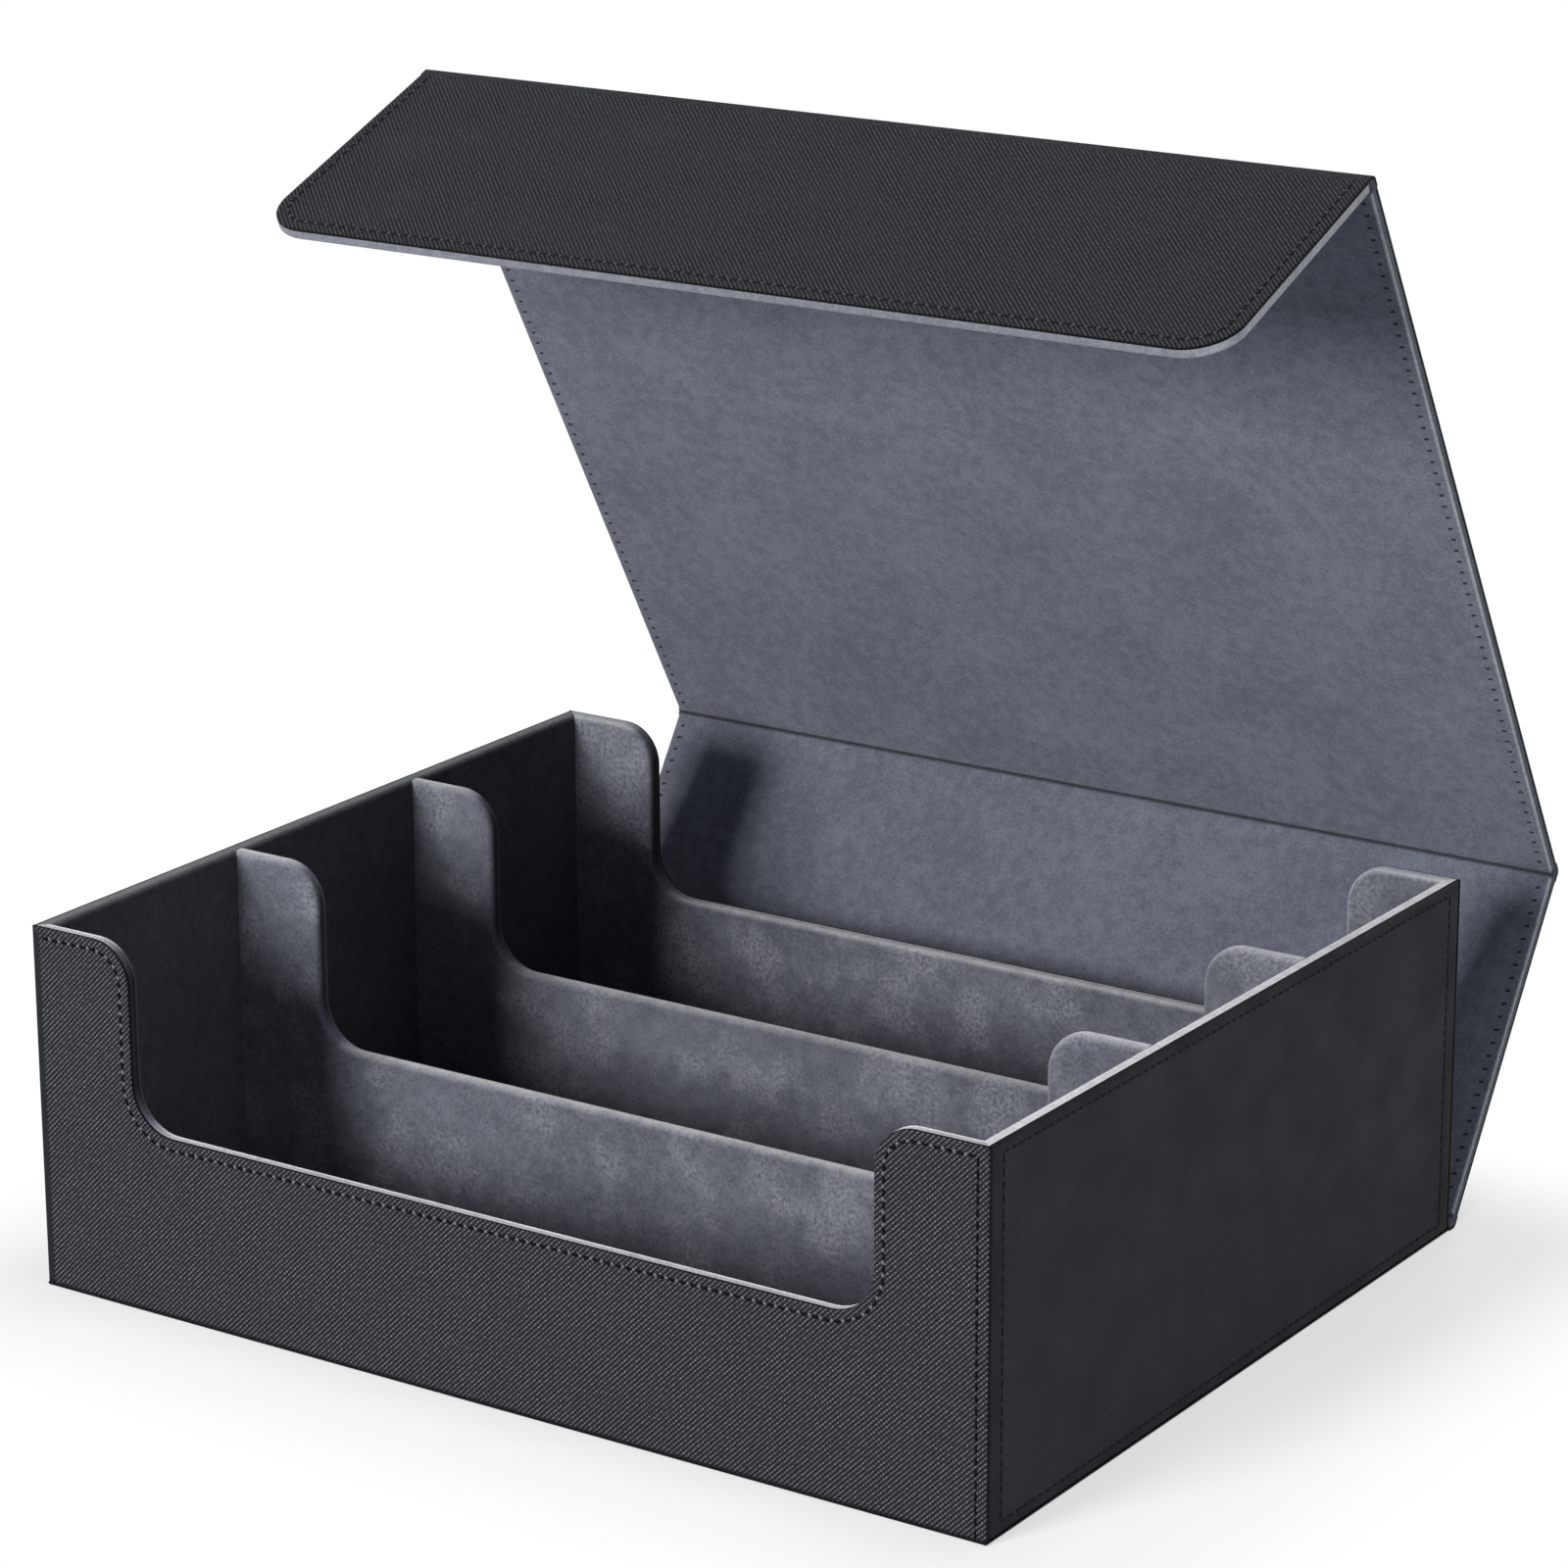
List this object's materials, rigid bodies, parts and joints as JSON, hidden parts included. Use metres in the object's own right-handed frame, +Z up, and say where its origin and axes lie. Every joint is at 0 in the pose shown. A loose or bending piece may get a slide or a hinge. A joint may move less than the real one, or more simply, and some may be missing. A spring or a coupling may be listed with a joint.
{
  "type": "card storage box",
  "caption": "Leather-covered card storage box with open suede-lined rows, notched dividers and a wrap-around folding lid whose front flap closes on hidden magnets.",
  "frame": {"origin": "middle of the box's underside, on the surface that it stands on", "axes": "+Z up, +X to the right and +Y to the rear, where the lid is hinged, as seen from the front"},
  "size_m": [0.32, 0.325, 0.3272],
  "materials": {
    "outer_leather": "embossed",
    "board": "matte",
    "suede": "napped",
    "side_lining": "matte",
    "magnet": "plated"
  },
  "bodies": {
    "box": {"base_leather": "outer_leather", "bottom_board": "board", "floor_lining": "suede", "front_board": "board", "back_board": "board", "left_board": "board", "right_board": "board", "front_lining": "suede", "back_lining": "suede", "left_lining": "side_lining", "right_lining": "side_lining", "front_leather": "outer_leather", "back_leather": "outer_leather", "left_leather": "outer_leather", "right_leather": "outer_leather", "front_divider_board": "board", "rear_divider_board": "board", "front_divider_suede": "suede", "rear_divider_suede": "suede", "front_magnets": "magnet", "base_fold": "outer_leather"},
    "back_panel": {"back_panel_board": "board", "back_panel_leather": "outer_leather", "back_panel_suede": "suede", "top_fold": "outer_leather"},
    "top_panel": {"top_panel_board": "board", "top_panel_leather": "outer_leather", "top_panel_suede": "suede", "flap_fold": "outer_leather"},
    "flap": {"flap_board": "board", "flap_leather": "outer_leather", "flap_suede": "suede", "flap_magnets": "magnet"}
  },
  "joints": [
    {"name": "base_fold_turn", "type": "hinge", "parent": "box", "child": "back_panel", "pos_m": [0, 0.1326, 0.002], "axis": [1, 0, 0], "range_deg": [-56.9, 33.1]},
    {"name": "top_fold_turn", "type": "hinge", "parent": "back_panel", "child": "top_panel", "pos_m": [0, 0.193, 0.09465], "axis": [1, 0, 0], "range_deg": [-62.7, 27.3]},
    {"name": "flap_fold_turn", "type": "hinge", "parent": "top_panel", "child": "flap", "pos_m": [0, 0.06201, 0.32524], "axis": [1, 0, 0], "range_deg": [-82.5, 7.5]}
  ]
}
